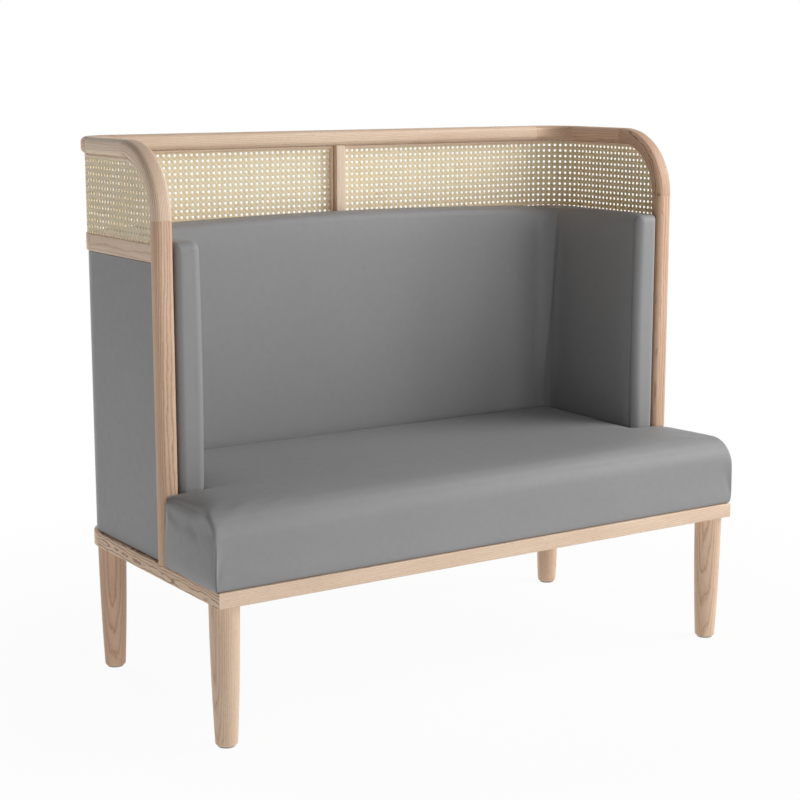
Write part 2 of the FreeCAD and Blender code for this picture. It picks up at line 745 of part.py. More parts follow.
def cushion():
    z0 = seat_frame_bottom + clearance
    height = seat_top - z0
    wires = []
    for rise, front, side, rear in cushion_profile_shares:
        wires.append(t_outline(z0 + height * rise, cushion_front_roll * front, cushion_side_roll * side,
                               cushion_rear_roll * rear, cushion_corner_radius))
    solid = Part.makeLoft(wires, True, True)
    hollow = t_slab(cushion_side_foam - clearance, z0 - overrun, deck_top + clearance)
    return solid.cut(hollow)


def seat_frame():
    t = seat_frame_thickness
    foam = cushion_side_foam
    z0, z1 = seat_frame_bottom, seat_frame_top
    wing_x = half_width - foam
    stem_x = stem_half_width - foam
    y_front = cushion_front_y + foam
    y_wing = wing_back_y - foam
    y_back = stem_back_y - foam
    nodes["seat_frame_front"] = box(-wing_x, wing_x, y_front, y_front + t, z0, z1)
    nodes["seat_frame_middle"] = box(-wing_x, wing_x, y_wing - t, y_wing, z0, z1)
    nodes["seat_frame_rear"] = box(-stem_x, stem_x, y_back - t, y_back, z0, z1)
    end = box(-wing_x, -wing_x + t, y_front + t, y_wing - t, z0, z1)
    stem = box(-stem_x, -stem_x + t, y_wing, y_back - t, z0, z1)
    for side in (left, right):
        nodes["seat_frame_end_" + side_name(side)] = on_side(end, side)
        nodes["seat_frame_side_" + side_name(side)] = on_side(stem, side)
    deck = t_slab(foam, z1, deck_top)
    holes = []
    for x in gap_row(-stem_x, stem_x, deck_hole_pitch):
        for y in gap_row(y_front + t, y_back - t, deck_hole_pitch):
            holes.append(Part.makeCylinder(deck_hole_diameter / 2, deck_thickness, V(x, y, z1)))
    nodes["seat_deck"] = deck.cut(Part.Compound(holes))
    lap = base_rail_width - dust_cover_lap
    ahead = box(-half_width, half_width, front_y + lap, back_y, 0, beyond)
    nodes["dust_cover"] = wall_interior(lap, rail_top, seat_frame_bottom).common(ahead)


base_pieces()
corner_blocks()
legs()
seat_frame()
nodes["seat_cushion"] = cushion()
hoop_pieces()
mid_rails()
centre_stile()
cane()
beads()
wall_studs()
outer_panels()
pad_boards()
padding()

os.makedirs("parts", exist_ok=True)
for name, shape in nodes.items():
    shape.exportStep("parts/" + name + ".step")
    print(name, len(shape.Solids), round(shape.Volume), shape.isValid())
print(len(nodes), "nodes")
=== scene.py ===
import math

import bpy
import numpy as np
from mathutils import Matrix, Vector


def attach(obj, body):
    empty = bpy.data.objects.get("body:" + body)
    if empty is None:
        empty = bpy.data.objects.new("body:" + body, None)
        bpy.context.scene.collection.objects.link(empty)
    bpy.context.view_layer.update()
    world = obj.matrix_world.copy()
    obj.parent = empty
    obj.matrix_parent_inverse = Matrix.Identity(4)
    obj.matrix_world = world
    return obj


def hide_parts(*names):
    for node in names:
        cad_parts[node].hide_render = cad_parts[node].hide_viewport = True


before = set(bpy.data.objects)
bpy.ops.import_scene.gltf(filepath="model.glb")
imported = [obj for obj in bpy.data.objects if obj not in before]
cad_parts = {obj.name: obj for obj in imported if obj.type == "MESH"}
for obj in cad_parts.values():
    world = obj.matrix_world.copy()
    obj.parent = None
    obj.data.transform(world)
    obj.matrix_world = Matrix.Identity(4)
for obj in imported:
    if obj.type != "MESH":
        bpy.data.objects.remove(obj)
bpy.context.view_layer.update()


# Camera: it stands off the front left corner, a little higher than the booth, and
# looks slightly down at it, with a long lens.
camera = bpy.data.objects.new("camera", bpy.data.cameras.new("camera"))
camera.location = (-2.162839, -3.215834, 1.281224)
camera.rotation_euler = (math.radians(79.601), 0, math.radians(-33.526))
camera.data.sensor_width = 36
camera.data.lens = 81.22
camera.data.clip_end = 60
bpy.context.scene.collection.objects.link(camera)
bpy.context.scene.camera = camera


# Base frame: solid oak rails, mitred and glued at the front corners, with quarter-round
# pieces let in at the rear corners. Every arris is eased by hand.
MM = 0.001
half_width, front_y, back_y = 650.0, -321.5, 318.5
corner_radius = 95.0
corner_x, corner_y = half_width - corner_radius, back_y - corner_radius
leg_height, rail_top, rail_width = 285.0, 316.0, 44.0
rail_height = rail_top - leg_height
left, right = -1, 1
side_names = {left: "left", right: "right"}


def srgb(red, green, blue):
    """A colour read off a swatch, 0 to 255, as the shader needs it."""
    def linear(value):
        share = value / 255
        return share / 12.92 if share <= 0.04045 else ((share + 0.055) / 1.055) ** 2.4
    return linear(red), linear(green), linear(blue), 1.0


def new_finish(name):
    finish = bpy.data.materials.new(name)
    finish.use_nodes = True
    return finish, finish.node_tree, finish.node_tree.nodes["Principled BSDF"]


def feed(tree, node, inputs):
    """Links the inputs that another node works out, and sets the plain ones."""
    for key, value in inputs.items():
        if isinstance(value, bpy.types.NodeSocket):
            tree.links.new(value, node.inputs[key])
        else:
            node.inputs[key].default_value = value


def add_node(tree, kind, inputs=None, **settings):
    made = tree.nodes.new("ShaderNode" + kind)
    for key, value in settings.items():
        setattr(made, key, value)
    feed(tree, made, inputs or {})
    return made


def worked(tree, operation, first, second=0.0, clamp=False):
    """One step of arithmetic on two values."""
    return add_node(tree, "Math", {0: first, 1: second}, operation=operation,
                    use_clamp=clamp).outputs[0]


def times(tree, first, second, clamp=False):
    return worked(tree, "MULTIPLY", first, second, clamp)


def scaled(tree, value, factor, start):
    """A value times a factor, counted up from a start."""
    return worked(tree, "ADD", times(tree, value, factor), start)


def strayed(tree, value, noise, reach):
    """A value moved up or down by noise, by half the reach at most."""
    return worked(tree, "ADD", value, times(tree, worked(tree, "SUBTRACT", noise, 0.5), reach))


def speckle(tree, place, stretch, detail=2.0, roughness=0.5):
    """Noise from 0 to 1, in blotches per metre along each axis."""
    spread = add_node(tree, "VectorMath", {0: place, 1: stretch}, operation="MULTIPLY")
    return add_node(tree, "TexNoise", {"Vector": spread.outputs[0], "Scale": 1.0, "Detail": detail,
                                       "Roughness": roughness}).outputs["Fac"]


def ramp(tree, value, stops):
    """A scale of greys laid over a value."""
    made = add_node(tree, "ValToRGB", {"Fac": value})
    band = made.color_ramp
    while len(band.elements) < len(stops):
        band.elements.new(0.5)
    for element, (place, grey) in zip(band.elements, stops):
        element.position = place
        element.color = (grey, grey, grey, 1)
    return made.outputs["Color"]


def stain(tree, share, under, over, mode="MIX"):
    """One colour laid over another by a share from 0 to 1."""
    return add_node(tree, "Mix", {0: share, 6: under, 7: over}, data_type="RGBA",
                    blend_type=mode).outputs[2]


def bumped(tree, height, strength, distance):
    return add_node(tree, "Bump", {"Height": height, "Strength": strength,
                                   "Distance": distance}).outputs[0]


def kept_on_mesh(tree, name):
    return add_node(tree, "Attribute", attribute_name=name).outputs["Vector"]


def grown_wood(tree, shader, place, pale, late, early, ring_width=0.0034, figure=0.55):
    """Growth rings about a pith along the first axis, with fibres and open pores."""
    drift_reach, waver_reach, ripple_reach = 0.016, 0.0018, 0.0075
    ring_greys = [(0.0, 0.55), (0.11, 1.0), (0.27, 0.4), (0.62, 0.08), (0.93, 0.16), (1.0, 0.55)]
    bold_from, bold_gain, bold_edge = 0.68, 2.6, 2.5
    pore_stain, pore_depth, fibre_depth = 0.6, 0.8, 0.35
    axes = add_node(tree, "SeparateXYZ", {0: place}).outputs
    radius = worked(tree, "SQRT", worked(tree, "ADD", worked(tree, "POWER", axes[1], 2.0),
                                         worked(tree, "POWER", axes[2], 2.0)))
    radius = strayed(tree, radius, speckle(tree, place, (2.2, 14, 14), 3.0), drift_reach)
    radius = strayed(tree, radius, speckle(tree, place, (9, 60, 60)), waver_reach)
    swing = times(tree, worked(tree, "POWER", figure, 3.0), ripple_reach)
    radius = strayed(tree, radius, speckle(tree, place, (36, 90, 90)), swing)
    band = ramp(tree, worked(tree, "FRACT", worked(tree, "DIVIDE", radius, ring_width)), ring_greys)
    fibre = speckle(tree, place, (14, 900, 900), 3.0, 0.6)
    streak = speckle(tree, place, (5, 150, 150), 3.0, 0.55)
    patch = speckle(tree, place, (4, 26, 26))
    pore = ramp(tree, speckle(tree, place, (95, 2300, 2300), 1.0), [(0.57, 0.0), (0.66, 1.0)])
    pores = times(tree, pore, scaled(tree, band, 0.75, 0.12), True)
    bold = times(tree, worked(tree, "SUBTRACT", figure, bold_from), bold_gain, True)
    body = stain(tree, streak, pale, late)
    for share, over in (
            (times(tree, band, figure, True), early),
            (ramp(tree, patch, [(0.35, 0.0), (0.75, 0.3)]), early),
            (ramp(tree, fibre, [(0.45, 0.0), (0.8, 0.26)]), early),
            (times(tree, worked(tree, "POWER", band, bold_edge), bold), srgb(118, 84, 58)),
            (times(tree, pores, pore_stain), srgb(112, 78, 52))):
        body = stain(tree, share, body, over)
    height = worked(tree, "SUBTRACT", times(tree, fibre, fibre_depth),
                    times(tree, pores, pore_depth))
    feed(tree, shader, {"Roughness": scaled(tree, fibre, 0.16, 0.42),
                        "Normal": bumped(tree, height, 0.35, 0.0004)})
    return body


def oiled_oak():
    """Oak whose rings follow each bar: the bars carry their own grain places and tone. The tone
    darkens or lightens a whole bar, partly as the oak's own colour and partly as painted shade and
    painted light.
    """
    finish, tree, shader = new_finish("oiled_oak")
    warmth_and_painted_shade, bleach_and_painted_light, figure = add_node(tree, "SeparateXYZ", {0: kept_on_mesh(tree, "tone")}).outputs
    body = grown_wood(tree, shader, kept_on_mesh(tree, "grain"), srgb(250, 226, 200),
                      srgb(238, 205, 176), srgb(192, 147, 112), figure=figure)
    # Painted shade and light, with the oak's own colour: by its tone each bar is darkened by a warm
    # multiply and lightened by a pale screen.
    body = stain(tree, warmth_and_painted_shade, body, srgb(196, 150, 124), "MULTIPLY")
    body = stain(tree, bleach_and_painted_light, body, srgb(240, 228, 208), "SCREEN")
    feed(tree, shader, {"Base Color": body})
    return finish


oak = oiled_oak()


def raise_mesh(name, points, faces, finish, crease=40):
    """A smooth-shaded mesh with its faces turned outward, from points in millimetres."""
    points = np.asarray(points, float)
    mesh = bpy.data.meshes.new(name)
    mesh.from_pydata((points * MM).tolist(), [], [list(face) for face in faces])
    mesh.polygons.foreach_set("use_smooth", np.ones(len(mesh.polygons), bool))
    mesh.set_sharp_from_angle(angle=math.radians(crease))
    mesh.calc_loop_triangles()
    corners = np.zeros(len(mesh.loop_triangles) * 3, np.int32)
    mesh.loop_triangles.foreach_get("vertices", corners)
    a, b, c = points[corners.reshape(-1, 3)].transpose(1, 0, 2)
    if (a * np.cross(b, c)).sum() < 0:
        mesh.flip_normals()
    mesh.materials.append(finish)
    piece = bpy.data.objects.new(name, mesh)
    bpy.context.scene.collection.objects.link(piece)
    return piece


def keep_on_mesh(piece, name, values):
    """Stores one vector for each point of a piece, for its finish to read."""
    layer = piece.data.attributes.new(name, "FLOAT_VECTOR", "POINT")
    layer.data.foreach_set("vector", np.asarray(values, np.float32).ravel())


def fit(piece, slot, *nodes):
    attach(piece, "root")
    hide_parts(*nodes)
    return piece


def fit_oak(piece, grain, tone, node):
    """Fits a piece of oak with its grain places and its one tone kept on its mesh."""
    keep_on_mesh(piece, "grain", grain)
    keep_on_mesh(piece, "tone", np.tile(tone, (len(grain), 1)))
    fit(piece, "oiled_oak", node)


def tube_faces(rings, around, capped=False):
    """The quads between rings of points, with a face over each end if it is capped."""
    ring, place = np.meshgrid(np.arange(rings - 1), np.arange(around), indexing="ij")
    a = ring * around + place
    b = ring * around + (place + 1) % around
    faces = np.stack([a, b, b + around, a + around], -1).reshape(-1, 4).tolist()
    if capped:
        faces += [list(range(around)), list(range((rings - 1) * around, rings * around))]
    return faces


def rounded(width, height, radius, steps):
    """The outline of a bar's section, with rounded arrises."""
    points = []
    for turn, (a, b) in enumerate(((1, 1), (-1, 1), (-1, -1), (1, -1))):
        for angle in np.linspace(0, math.pi / 2, steps + 1) + turn * math.pi / 2:
            points.append((a * (width / 2 - radius) + radius * math.cos(angle),
                           b * (height / 2 - radius) + radius * math.sin(angle)))
    return np.array(points)


def straight(start, end, across, up, mitre_start=0.0, mitre_end=0.0):
    """Two stations of a straight bar: place, across, up, distance and mitre."""
    start, end = np.array(start, float), np.array(end, float)
    length = np.linalg.norm(end - start)
    along = (end - start) / length
    across, up = np.array(across, float), np.array(up, float)
    return [(start, across + along * mitre_start, up, 0.0, mitre_start),
            (end, across + along * mitre_end, up, length, mitre_end)]


def bent(centre, toward, turned, radius, across=None, up=None, steps=30):
    """Stations of a quarter turn, from one direction round to the other."""
    stations = []
    for angle in np.linspace(0, math.pi / 2, steps + 1):
        out = np.array(toward) * math.cos(angle) + np.array(turned) * math.sin(angle)
        stations.append((np.array(centre) + out * radius,
                         out if across is None else np.array(across, float),
                         out if up is None else np.array(up, float), angle * radius, 0.0))
    return stations


def oak_bar(name, node, side, stations, outline, pith, lean=(0, 0), start=0.0, tone=(0, 0),
            figure=0.55, coarse=1.0, ease=0.45):
    """A solid bar of oak, its ends eased unless they are mitred, and its grain kept on it."""
    outline = np.asarray(outline, float)
    shrunk = outline * (1 - 2 * ease / np.ptp(outline, axis=0))
    rings = []
    for number, station in enumerate(stations):
        place, across, up, distance, mitre = station
        first = number == 0
        if mitre or not (first or number == len(stations) - 1):
            rings.append((station, outline))
            continue
        inward = stations[1 if first else -2][0] - place
        inward = inward / np.linalg.norm(inward)
        eased = (place + inward * ease, across, up, distance + ease * (1 if first else -1), 0.0)
        pair = [(station, shrunk), (eased, outline)]
        rings += pair if first else pair[::-1]
    points, grain = [], []
    for (place, across, up, distance, mitre), section in rings:
        a, b = section[:, :1], section[:, 1:]
        points.append(place + a * across + b * up)
        along = distance + a * mitre
        grain.append(np.hstack([along + start, a - pith[0] - lean[0] * along,
                                b - pith[1] - lean[1] * along]))
    points = np.vstack(points) * (-side if side else 1, 1, 1)
    piece = raise_mesh(name, points, tube_faces(len(rings), len(outline), True), oak, 30)
    fit_oak(piece, np.vstack(grain) * MM / coarse, (*tone, figure), node)


LEFT, FRONT, BACK, UP = (-1, 0, 0), (0, -1, 0), (0, 1, 0), (0, 0, 1)
base_outline = rounded(rail_width, rail_height, 2.2, 4)
base_z = (leg_height + rail_top) / 2
base_x = half_width - rail_width / 2
base_front, base_back = front_y + rail_width / 2, back_y - rail_width / 2
oak_bar("oak_base_front", "base_rail_front", 0,
        straight((-base_x, base_front, base_z), (base_x, base_front, base_z), FRONT, UP, -1, 1),
        base_outline, pith=(34, -58), lean=(0.004, 0.006), start=300, tone=(0.0, 0.12))
oak_bar("oak_base_rear", "base_rail_rear", 0,
        straight((-corner_x, base_back, base_z), (corner_x, base_back, base_z), BACK, UP),
        base_outline, pith=(-70, 22), lean=(0.01, -0.008), start=2400)
for side, pith, lean, start, tone, figure, coarse in (
        (left, (12, -9), (0.014, 0.018), 900, (0.02, 0.0), 1.0, 1.7),
        (right, (-64, 30), (0.01, 0.012), 4100, (0.12, 0.0), 0.6, 1.0)):
    hand = side_names[side]
    oak_bar("oak_base_" + hand, "base_rail_" + hand, side,
            straight((-base_x, base_front, base_z), (-base_x, corner_y, base_z), LEFT, UP, -1, 0),
            base_outline, pith, lean, start, tone, figure, coarse)
for side, hand in side_names.items():
    oak_bar("oak_base_corner_" + hand, "base_corners", side,
            bent((-corner_x, corner_y, base_z), LEFT, BACK, corner_radius - rail_width / 2, up=UP),
            base_outline, (-48, 16 * side), (0.02, 0.03), 5200 + 700 * side, tone=(0.06, 0))


# Hidden timber: planed softwood, glued and screwed where it doesn't show, as the blocks
# and cross rail in the base, the frame under the seat, the wall studs and the dowels.
def object_place(tree):
    return add_node(tree, "TexCoord").outputs["Object"]


def plain_timber(name, turn, shift=(0.4, 0.03, 0.19), ring_width=0.0051,
                 colours=((228, 206, 168), (214, 186, 142), (190, 152, 104))):
    """Pale timber, its grain along the axis that the turn brings to the front."""
    finish, tree, shader = new_finish(name)
    turned = add_node(tree, "VectorRotate", {"Vector": object_place(tree), "Rotation": turn},
                      rotation_type="EULER_XYZ").outputs[0]
    place = add_node(tree, "VectorMath", {0: turned, 1: shift}, operation="ADD").outputs[0]
    body = grown_wood(tree, shader, place, *(srgb(*colour) for colour in colours), ring_width)
    feed(tree, shader, {"Base Color": body})
    return finish


def refinish(finish, *nodes):
    """Gives CAD nodes that stay as they are their finish."""
    for node in nodes:
        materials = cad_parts[node].data.materials
        materials.clear()
        materials.append(finish)


refinish(plain_timber("softwood_across", (0, 0, 0)),
         "corner_block_front_left", "corner_block_front_right", "corner_block_rear_left",
         "corner_block_rear_right", "seat_frame_front", "seat_frame_middle", "seat_frame_rear")
refinish(plain_timber("softwood_deep", (0, 0, -math.pi / 2)),
         "base_cross_rail", "seat_frame_end_left", "seat_frame_end_right",
         "seat_frame_side_left", "seat_frame_side_right")
refinish(plain_timber("softwood_upright", (0, math.pi / 2, 0)), "wall_studs", "hoop_dowels")


# Legs: turned oak, a little thicker at the top than at the foot, with a slight
# belly, each one bolted up into the corner of the frame.
leg_top, leg_foot, leg_belly, glide_height = 30.0, 22.0, 1.5, 4.0
foot_rises, foot_cuts = (0, 0.0012, 0.004, 0.009, 0.016), (2.6, 1.5, 0.7, 0.2, 0.0)
leg_around, leg_figure = 64, 0.6
front_leg, rear_leg = (619.5, -282.5), (596.0, 273.5)


def turned_leg(name, node, x, y, side, pith, start, tone):
    rises = np.concatenate([foot_rises, np.linspace(0.05, 1, 16)])
    radii = leg_foot + (leg_top - leg_foot) * rises + leg_belly * 4 * rises * (1 - rises)
    radii[:len(foot_cuts)] -= foot_cuts
    angles = np.linspace(0, 2 * math.pi, leg_around, endpoint=False)
    points, grain = [], []
    for rise, radius in zip(rises, radii):
        z = np.full(leg_around, glide_height + (leg_height - glide_height) * rise)
        ring = np.stack([radius * np.cos(angles), radius * np.sin(angles), z], 1)
        points.append(ring + (x, y, 0))
        grain.append(np.stack([z + start, ring[:, 0] - pith[0], ring[:, 1] - pith[1]], 1))
    piece = raise_mesh(name, np.vstack(points) * (side, 1, 1),
                       tube_faces(len(rises), leg_around, True), oak, 30)
    fit_oak(piece, np.vstack(grain) * MM, (*tone, leg_figure), node)


turned_leg("oak_leg_front_left", "front_legs", *front_leg, left, (90, -20), 700, (0.0, 0.06))
turned_leg("oak_leg_front_right", "front_legs", *front_leg, right, (60, 50), 1500, (0.05, 0))
turned_leg("oak_leg_rear_left", "rear_legs", *rear_leg, left, (-40, 75), 2300, (0.3, 0))
turned_leg("oak_leg_rear_right", "rear_legs", *rear_leg, right, (36, -60), 3100, (0.16, 0))


# Fixings under each leg corner: a zinc-plated plate let into the frame, its bolt,
# and a nail-in nylon glide under the foot.
zinc, tree, shader = new_finish("zinc_plate")
cloud = speckle(tree, object_place(tree), (220, 220, 220), 4.0)
feed(tree, shader, {"Base Color": stain(tree, cloud, srgb(196, 200, 204), srgb(158, 162, 168)),
                    "Roughness": scaled(tree, cloud, 0.3, 0.22), "Metallic": 1.0})
refinish(zinc, "leg_bolts", "leg_plates")
nylon, tree, shader = new_finish("glide_nylon")
scuff = speckle(tree, object_place(tree), (500, 500, 90), 3.0)
feed(tree, shader, {"Base Color": stain(tree, scuff, srgb(190, 184, 172), srgb(150, 143, 132)),
                    "Roughness": 0.5, "Normal": bumped(tree, scuff, 0.2, 0.0002)})
refinish(nylon, "leg_glides")


# Hoop: posts, quarter bends, side rails, rear corners and back rail of one oak
# section, butted end to end on hidden dowels, so that each joint shows as a line.
post_front_y, post_back_y = -96.5, -62.5
hoop_x, hoop_width, hoop_thickness, hoop_arris = 634.0, 38.0, 34.0, 11.5
hoop_back, hoop_top = 302.5, 1145.0
hoop_z, hoop_under = hoop_top - hoop_thickness / 2, hoop_top - hoop_thickness
bend_radius, bend_y, bend_z = 133.0, 53.5, 995.0
hoop_outline = rounded(hoop_width, hoop_thickness, hoop_arris, 8)
post_y = (post_front_y + post_back_y) / 2
# These tones paint shade and light as well as the oak's own colour: the right-hand post, bend and
# rail are darkened where the key light falls hardest, and the left bend is lightened where less
# light reaches it.
for side, tone, bend_tone_and_shading, rail_tone_and_shading, bend_figure in (
        (left, (0.25, 0.0), (0.0, 0.15), (0.0, 0.26), 0.76),
        (right, (0.3, 0), (0.36, 0), (0.3, 0), 0.9)):
    hand = side_names[side]
    oak_bar("oak_post_" + hand, "post_" + hand, side,
            straight((-hoop_x, post_y, rail_top), (-hoop_x, post_y, bend_z), LEFT, FRONT),
            hoop_outline, (40, -70), (0.012, 0.008), 6000 + 900 * side, tone, figure=0.72)
    oak_bar("oak_quarter_bend_" + hand, "quarter_bends", side,
            bent((-hoop_x, bend_y, bend_z), FRONT, UP, bend_radius, across=LEFT),
            hoop_outline, (-58, 34), (0.03, 0.09), 8000 + 600 * side, bend_tone_and_shading, bend_figure)
    oak_bar("oak_top_rail_" + hand, "top_rail_" + hand, side,
            straight((-hoop_x, bend_y, hoop_z), (-hoop_x, corner_y, hoop_z), LEFT, UP),
            hoop_outline, (60, 40), (0.02, -0.02), 9000 + 500 * side, rail_tone_and_shading)
    oak_bar("oak_top_corner_" + hand, "top_corners", side,
            bent((-corner_x, corner_y, hoop_z), LEFT, BACK, hoop_x - corner_x, up=UP),
            hoop_outline, (-44, 38), (0.05, 0.03), 9900 + 400 * side, tone=(0.14, 0))
oak_bar("oak_top_rail_back", "top_rail_back", 0,
        straight((-corner_x, hoop_back, hoop_z), (corner_x, hoop_back, hoop_z), BACK, UP),
        hoop_outline, (-36, -62), (0.004, 0.014), 11000, tone=(0.0, 0.1))


# Middle rail: oak, under the cane and over the panels, housed into the posts and
# turned round the rear corners like the frame below.
mid_top, mid_height, mid_width, mid_inset = 948.5, 35.5, 28.0, 2.5
mid_z, mid_reach = mid_top - mid_height / 2, mid_inset + mid_width / 2
mid_outline = rounded(mid_width, mid_height, 2.4, 4)
mid_x, mid_y = half_width - mid_reach, back_y - mid_reach
for side, hand in side_names.items():
    oak_bar("oak_mid_rail_" + hand, "mid_rail_" + hand, side,
            straight((-mid_x, post_back_y, mid_z), (-mid_x, corner_y, mid_z), LEFT, UP),
            mid_outline, (-50, 12), (0.01, 0.02), 12500 + 500 * side, (0.02, 0.14), figure=0.62)
    oak_bar("oak_mid_corner_" + hand, "mid_corners", side,
            bent((-corner_x, corner_y, mid_z), LEFT, BACK, corner_radius - mid_reach, up=UP),
            mid_outline, (40, 30), (0.03, 0.03), 13500 + 300 * side, tone=(0.1, 0))
oak_bar("oak_mid_rail_back", "mid_rail_back", 0,
        straight((-corner_x, mid_y, mid_z), (corner_x, mid_y, mid_z), BACK, UP),
        mid_outline, (-58, 20), (0.006, 0.01), 14500, tone=(0.05, 0))


# Centre stile: an upright of oak between the two back openings, tenoned into the
# rails above and below, with a groove each side for the cane.
stile_width, stile_thickness, stile_inset = 23.0, 24.0, 1.5
stile_y = back_y - mid_inset - stile_inset - stile_thickness / 2
oak_bar("oak_centre_stile", "centre_stile", 0,
        straight((0, stile_y, mid_top), (0, stile_y, hoop_under), LEFT, BACK),
        rounded(stile_width, stile_thickness, 1.8, 4), (50, -30), (0.01, 0.02), 16000, (0, 0.25))


# Cane: one sheet of open webbing a side, woven six ways, that runs from the post
# round the corner to the stile and is held all round in a groove.
cane_pitch, cane_half_gap, strand_width, strand_height = 13.4, 2.15, 3.85, 0.7
cane_wave, cane_cross_wave, cane_sway, cane_depth, cane_lap = 0.45, 1.1, 0.12, 6.0, 4.0
opening_bend = bend_radius - hoop_thickness / 2
sheet_bend = opening_bend + cane_lap
side_run = corner_y - post_back_y
turn_run = (corner_radius - cane_depth) * math.pi / 2
wall_end = side_run + turn_run
stile_edge = wall_end + corner_x - stile_width / 2


def risen(value, start, span):
    """How far a value has come past a start, as a share of a span, from 0 to 1."""
    return np.clip((value - start) / span, 0, 1)


def wall_point(run, z, inset):
    """A point of the left half of the wall: along the side, round the corner, along the back."""
    run, z, inset = np.broadcast_arrays(np.asarray(run, float), z, inset)
    turn = risen(run, side_run, turn_run) * math.pi / 2
    reach = corner_radius - inset
    x = -corner_x - reach * np.cos(turn) + np.maximum(0, run - side_run - turn_run)
    y = corner_y + reach * np.sin(turn) - np.maximum(0, side_run - run)
    return np.stack([x, y, z], -1)


def opening_top(run):
    """Height of the sheet's upper edge, which follows the bend beside the post."""
    beside = np.maximum(0, bend_y - post_back_y - np.asarray(run, float))
    curve = bend_z + np.sqrt(np.maximum(0, sheet_bend ** 2 - beside ** 2))
    return np.where(beside > 0, curve, hoop_under + cane_lap)


def opening_start(z):
    """Where the sheet begins at a height, past the post and its bend."""
    rise = np.maximum(0, np.asarray(z, float) - bend_z)
    curve = bend_y - post_back_y - np.sqrt(np.maximum(0, sheet_bend ** 2 - rise ** 2))
    return np.where(rise > 0, curve, -cane_lap)


def split_cane():
    """Glossy rattan bark, each strand a shade of its own, with faint lengthwise fibres."""
    finish, tree, shader = new_finish("split_cane")
    place = kept_on_mesh(tree, "grain")
    shade = add_node(tree, "SeparateXYZ", {0: kept_on_mesh(tree, "tone")}).outputs[0]
    fibre = speckle(tree, place, (30, 2600, 0))
    node_mark = ramp(tree, speckle(tree, place, (16, 40, 0)), [(0.55, 0.0), (0.78, 0.6)])
    body = stain(tree, shade, srgb(255, 240, 211), srgb(254, 231, 194))
    body = stain(tree, times(tree, fibre, 0.4), body, srgb(242, 217, 176))
    feed(tree, shader, {"Base Color": stain(tree, node_mark, body, srgb(226, 195, 154)),
                        "Roughness": scaled(tree, fibre, 0.25, 0.3),
                        "Normal": bumped(tree, fibre, 0.25, 0.0002),
                        "Subsurface Weight": 0.6, "Subsurface Scale": 0.0005,
                        "Subsurface Radius": (1.0, 0.85, 0.6)})
    return finish


cane_finish = split_cane()


def weave(seed):
    """Every strand of one sheet, as rows of places along it: run, height, inset and shade."""
    chance = np.random.default_rng(seed)
    step, turn = cane_pitch / 6, 2 * math.pi / cane_pitch
    first_run, first_z = cane_pitch * 0.42, mid_top + cane_pitch * 0.66
    low, high, end = mid_top - cane_lap, hoop_under + cane_lap, stile_edge + cane_lap
    pair = ((-cane_half_gap, -cane_wave), (cane_half_gap, cane_wave))
    strands = []

    def strand(run, z, depth):
        sway = cane_sway * np.sin(np.arange(len(run)) * 0.21 + chance.uniform(0, 6.3))
        strands.append((run + sway, z + sway * 0.5, cane_depth - depth, chance.uniform()))

    for column in range(-1, int(end / cane_pitch) + 1):
        for offset, wave in pair:
            run = first_run + column * cane_pitch + offset
            if -cane_lap < run < end:
                z = np.arange(low, float(opening_top(run)), step)
                if len(z) > 3:
                    strand(np.full(len(z), run), z, wave * np.sin(turn * (z - first_z)))
    for row in range(-1, int((high - low) / cane_pitch) + 1):
        for offset, wave in pair:
            z = first_z + row * cane_pitch + offset
            if low < z < high:
                run = np.arange(float(opening_start(z)), end, step)
                strand(run, np.full(len(run), z), -wave * np.sin(turn * (run - first_run)))
    rise = np.arange(low, high, step)
    across = high - low
    lines = range(-int(across / cane_pitch) - 2, int((stile_edge + across) / cane_pitch) + 2)
    for line in lines:
        for way in (1, -1):
            run = first_run + (line + 0.5) * cane_pitch + way * (rise - first_z)
            held = (run > opening_start(rise)) & (run < end)
            if held.sum() > 3:
                depth = way * cane_cross_wave * np.cos(turn * (run - first_run))
                strand(run[held], rise[held], depth[held])
    return strands


def woven_sheet(side, seed):
    points, faces, grain, tone = [], [], [], []
    count = 0
    for number, (run, z, inset, shade) in enumerate(weave(seed)):
        middle = wall_point(run, z, inset)
        outward = wall_point(run, z, inset - 1.0) - middle
        wide = np.cross(np.gradient(middle, axis=0), outward)
        wide /= np.linalg.norm(wide, axis=1)[:, None]
        steps = np.linalg.norm(np.diff(middle, axis=0), axis=1)
        distance = np.concatenate([[0], np.cumsum(steps)])
        ring = [middle - wide * strand_width / 2, middle + outward * strand_height / 2,
                middle + wide * strand_width / 2, middle - outward * strand_height / 2]
        points.append(np.stack(ring, 1).reshape(-1, 3))
        faces += [[corner + count for corner in face] for face in tube_faces(len(run), 4, True)]
        sides = np.array([-1, 0, 1, 0]) * strand_width / 2
        grain.append(np.stack([np.repeat(distance, 4) + number * 97,
                               np.tile(sides, len(run)) + number * 31, np.zeros(4 * len(run))], 1))
        tone.append(np.tile((shade, 0, 0), (4 * len(run), 1)))
        count += 4 * len(run)
    hand = side_names[side]
    piece = raise_mesh("cane_sheet_" + hand, np.vstack(points) * (-side, 1, 1), faces,
                       cane_finish, 80)
    keep_on_mesh(piece, "grain", np.vstack(grain) * MM)
    keep_on_mesh(piece, "tone", np.vstack(tone))
    fit(piece, "cane_webbing", "cane_side_" + hand, "cane_back_" + hand, "cane_corners")


woven_sheet(left, 11)
woven_sheet(right, 12)


# Cane beads: a slim oak bead mitred round each opening and grooved over the edge of the
# webbing, a hairline clear of the hoop, its bottom run let low into the middle rail.
bead_gap, bead_width, bead_depth, bead_inset, bead_low = 1.1, 5.9, 12.3, 4.0, 0.12


